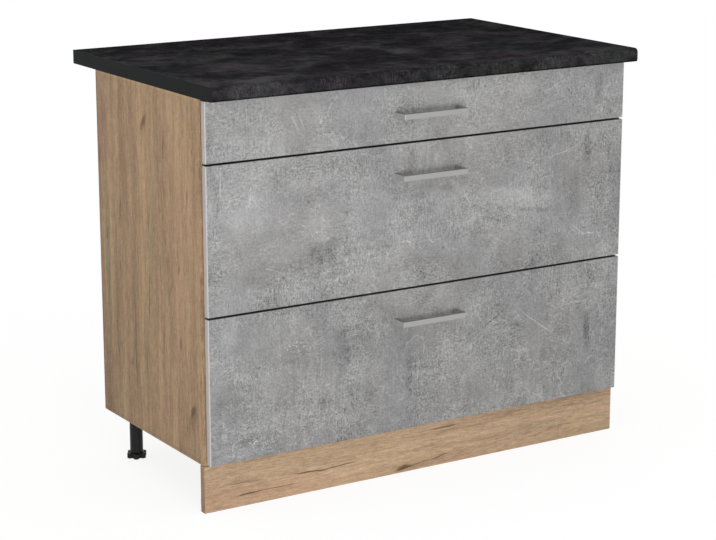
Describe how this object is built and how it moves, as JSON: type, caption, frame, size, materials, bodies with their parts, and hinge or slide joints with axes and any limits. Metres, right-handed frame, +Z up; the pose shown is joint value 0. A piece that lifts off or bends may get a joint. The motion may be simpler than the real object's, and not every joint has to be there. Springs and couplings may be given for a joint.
{
  "type": "kitchen base cabinet",
  "caption": "Kitchen base cabinet with a dark worktop, oak-look sides, concrete-look drawer fronts with bow handles, roller runners, a plinth and screw-in feet.",
  "frame": {"origin": "on the floor, under the middle of the worktop", "axes": "+X across the front to the right as seen from the front, +Y from the front to the wall, +Z up"},
  "size_m": [1, 0.6, 0.841],
  "materials": {
    "worktop_laminate": "near-black slate-look laminate, fine satin texture",
    "worktop_edging": "plain dark edging strip",
    "oak_board": "oak-look board, vertical grain, satin",
    "plinth_oak": "oak-look board, horizontal grain, satin",
    "concrete_front": "light grey concrete-look board, satin",
    "back_board": "white-faced hardboard",
    "drawer_board": "light grey melamine board",
    "coated_steel": "light grey powder-coated sheet steel",
    "roller_plastic": "pale nylon",
    "satin_steel": "satin brushed steel",
    "zinc_steel": "zinc-plated steel",
    "black_plastic": "moulded black plastic",
    "clear_bumper": "soft translucent dots"
  },
  "bodies": {
    "carcase": {"worktop": "worktop_laminate", "worktop_end_strips": "worktop_edging", "side_panel_left": "oak_board", "side_panel_right": "oak_board", "bottom_panel": "oak_board", "back_panel": "back_board", "front_rail": "oak_board", "rear_rail": "oak_board", "cam_locks": "zinc_steel", "cam_bolts": "zinc_steel", "plinth_board": "plinth_oak", "plinth_clips": "black_plastic", "leg_front_left": "black_plastic", "leg_front_right": "black_plastic", "leg_rear_left": "black_plastic", "leg_rear_right": "black_plastic", "fitting_screws": "zinc_steel", "front_bumpers": "clear_bumper", "top_runner_left": "coated_steel", "top_runner_right": "coated_steel", "middle_runner_left": "coated_steel", "middle_runner_right": "coated_steel", "bottom_runner_left": "coated_steel", "bottom_runner_right": "coated_steel"},
    "top_drawer": {"top_drawer_front": "concrete_front", "top_drawer_handle": "satin_steel", "top_drawer_brackets": "coated_steel", "top_drawer_side_left": "coated_steel", "top_drawer_side_right": "coated_steel", "top_drawer_bottom": "drawer_board", "top_drawer_back": "drawer_board", "top_drawer_screws": "zinc_steel"},
    "top_front_rollers": {"top_front_rollers": "roller_plastic"},
    "top_rear_rollers": {"top_rear_rollers": "roller_plastic"},
    "middle_drawer": {"middle_drawer_front": "concrete_front", "middle_drawer_handle": "satin_steel", "middle_drawer_brackets": "coated_steel", "middle_drawer_side_left": "coated_steel", "middle_drawer_side_right": "coated_steel", "middle_drawer_bottom": "drawer_board", "middle_drawer_back": "drawer_board", "middle_drawer_screws": "zinc_steel", "middle_drawer_rods": "coated_steel"},
    "middle_front_rollers": {"middle_front_rollers": "roller_plastic"},
    "middle_rear_rollers": {"middle_rear_rollers": "roller_plastic"},
    "bottom_drawer": {"bottom_drawer_front": "concrete_front", "bottom_drawer_handle": "satin_steel", "bottom_drawer_brackets": "coated_steel", "bottom_drawer_side_left": "coated_steel", "bottom_drawer_side_right": "coated_steel", "bottom_drawer_bottom": "drawer_board", "bottom_drawer_back": "drawer_board", "bottom_drawer_screws": "zinc_steel", "bottom_drawer_rods": "coated_steel"},
    "bottom_front_rollers": {"bottom_front_rollers": "roller_plastic"},
    "bottom_rear_rollers": {"bottom_rear_rollers": "roller_plastic"},
    "foot_front_left": {"foot_front_left": "black_plastic"},
    "foot_front_right": {"foot_front_right": "black_plastic"},
    "foot_rear_left": {"foot_rear_left": "black_plastic"},
    "foot_rear_right": {"foot_rear_right": "black_plastic"}
  },
  "joints": [
    {"name": "top_drawer_slide", "type": "slide", "parent": "carcase", "child": "top_drawer", "axis": [0, -1, 0], "range_m": [0, 0.3]},
    {"name": "top_front_rollers_turn", "type": "hinge", "parent": "carcase", "child": "top_front_rollers", "pos_m": [0, -0.229, 0.71265], "axis": [1, 0, 0], "range_deg": [0, 1560]},
    {"name": "top_rear_rollers_turn", "type": "hinge", "parent": "top_drawer", "child": "top_rear_rollers", "pos_m": [0, 0.1405, 0.7115], "axis": [1, 0, 0], "range_deg": [0, 1720]},
    {"name": "middle_drawer_slide", "type": "slide", "parent": "carcase", "child": "middle_drawer", "axis": [0, -1, 0], "range_m": [0, 0.3]},
    {"name": "middle_front_rollers_turn", "type": "hinge", "parent": "carcase", "child": "middle_front_rollers", "pos_m": [0, -0.229, 0.44165], "axis": [1, 0, 0], "range_deg": [0, 1560]},
    {"name": "middle_rear_rollers_turn", "type": "hinge", "parent": "middle_drawer", "child": "middle_rear_rollers", "pos_m": [0, 0.1405, 0.4405], "axis": [1, 0, 0], "range_deg": [0, 1720]},
    {"name": "bottom_drawer_slide", "type": "slide", "parent": "carcase", "child": "bottom_drawer", "axis": [0, -1, 0], "range_m": [0, 0.3]},
    {"name": "bottom_front_rollers_turn", "type": "hinge", "parent": "carcase", "child": "bottom_front_rollers", "pos_m": [0, -0.229, 0.14565], "axis": [1, 0, 0], "range_deg": [0, 1560]},
    {"name": "bottom_rear_rollers_turn", "type": "hinge", "parent": "bottom_drawer", "child": "bottom_rear_rollers", "pos_m": [0, 0.1405, 0.1445], "axis": [1, 0, 0], "range_deg": [0, 1720]},
    {"name": "foot_front_left_screw", "type": "slide", "parent": "carcase", "child": "foot_front_left", "axis": [0, 0, -1], "range_m": [0, 0.02]},
    {"name": "foot_front_right_screw", "type": "slide", "parent": "carcase", "child": "foot_front_right", "axis": [0, 0, -1], "range_m": [0, 0.02]},
    {"name": "foot_rear_left_screw", "type": "slide", "parent": "carcase", "child": "foot_rear_left", "axis": [0, 0, -1], "range_m": [0, 0.02]},
    {"name": "foot_rear_right_screw", "type": "slide", "parent": "carcase", "child": "foot_rear_right", "axis": [0, 0, -1], "range_m": [0, 0.02]}
  ],
  "couplings": [
    {"joint": "top_front_rollers_turn", "follows": "top_drawer_slide", "rad_per_m": 90.498},
    {"joint": "top_rear_rollers_turn", "follows": "top_drawer_slide", "rad_per_m": 100},
    {"joint": "middle_front_rollers_turn", "follows": "middle_drawer_slide", "rad_per_m": 90.498},
    {"joint": "middle_rear_rollers_turn", "follows": "middle_drawer_slide", "rad_per_m": 100},
    {"joint": "bottom_front_rollers_turn", "follows": "bottom_drawer_slide", "rad_per_m": 90.498},
    {"joint": "bottom_rear_rollers_turn", "follows": "bottom_drawer_slide", "rad_per_m": 100}
  ]
}
